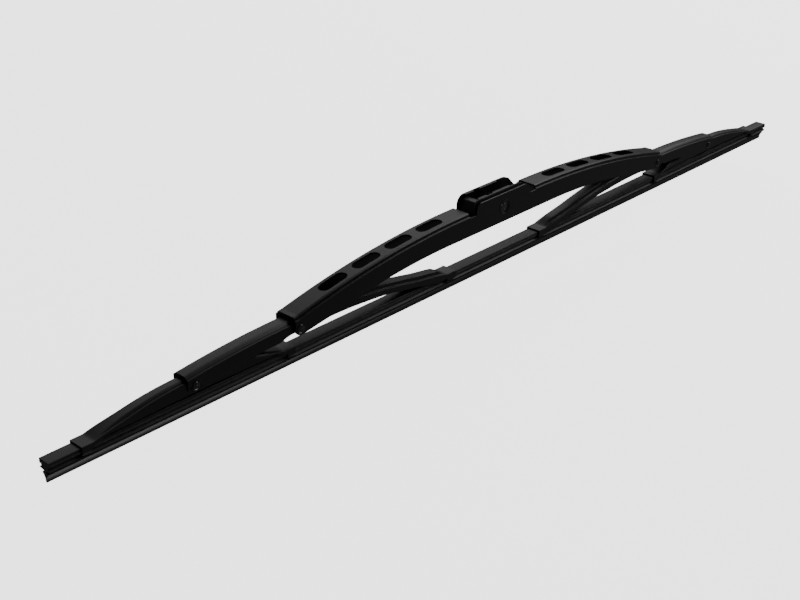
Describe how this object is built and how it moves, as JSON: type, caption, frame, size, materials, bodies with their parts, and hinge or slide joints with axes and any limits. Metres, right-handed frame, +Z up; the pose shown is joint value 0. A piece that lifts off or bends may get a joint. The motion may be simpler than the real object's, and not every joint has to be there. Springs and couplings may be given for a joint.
{
  "type": "wiper blade",
  "caption": "Framed windscreen wiper blade: a slotted steel bridge and pivoting claw yokes carry a rubber strip; a clip at the middle takes the wiper arm's hook.",
  "frame": {"origin": "tip of the wiping lip, half-way along the blade, on the blade's middle plane", "axes": "+X along the blade, +Y across it, +Z up from the glass to the wiper arm"},
  "size_m": [0.6, 0.0166, 0.0498],
  "materials": {
    "satin_black_steel": "satin black powder coat",
    "black_plastic": "moulded black plastic",
    "rubber": "smooth graphite-coated rubber",
    "pin_steel": "black coated steel",
    "spring_steel": "blackened spring steel"
  },
  "bodies": {
    "bridge": {"primary_bridge": "satin_black_steel", "centre_pin": "pin_steel", "left_main_rivet": "satin_black_steel", "right_main_rivet": "satin_black_steel", "left_main_liner": "black_plastic", "right_main_liner": "black_plastic", "rubber_strip": "rubber", "front_rail": "spring_steel", "rear_rail": "spring_steel"},
    "adapter": {"adapter": "black_plastic"},
    "left_middle": {"left_middle_yoke": "satin_black_steel", "left_tip_rivet": "satin_black_steel", "left_tip_liner": "black_plastic"},
    "right_middle": {"right_middle_yoke": "satin_black_steel", "right_tip_rivet": "satin_black_steel", "right_tip_liner": "black_plastic"},
    "left_end": {"left_end_yoke": "satin_black_steel"},
    "right_end": {"right_end_yoke": "satin_black_steel"}
  },
  "joints": [
    {"name": "adapter_pivot", "type": "hinge", "parent": "bridge", "child": "adapter", "pos_m": [0, 0, 0.0399], "axis": [0, 1, 0], "range_deg": [-25, 25]},
    {"name": "left_middle_pivot", "type": "hinge", "parent": "bridge", "child": "left_middle", "pos_m": [-0.156, 0, 0.0225], "axis": [0, 1, 0], "range_deg": [-5, 5], "deforming": ["rubber_strip", "front_rail", "rear_rail"]},
    {"name": "left_end_pivot", "type": "hinge", "parent": "left_middle", "child": "left_end", "pos_m": [-0.2206, 0, 0.0169], "axis": [0, 1, 0], "range_deg": [-4, 4], "deforming": ["rubber_strip", "front_rail", "rear_rail"]},
    {"name": "right_middle_pivot", "type": "hinge", "parent": "bridge", "child": "right_middle", "pos_m": [0.156, 0, 0.0225], "axis": [0, 1, 0], "range_deg": [-5, 5], "deforming": ["rubber_strip", "front_rail", "rear_rail"]},
    {"name": "right_end_pivot", "type": "hinge", "parent": "right_middle", "child": "right_end", "pos_m": [0.2206, 0, 0.0169], "axis": [0, 1, 0], "range_deg": [-4, 4], "deforming": ["rubber_strip", "front_rail", "rear_rail"]}
  ]
}
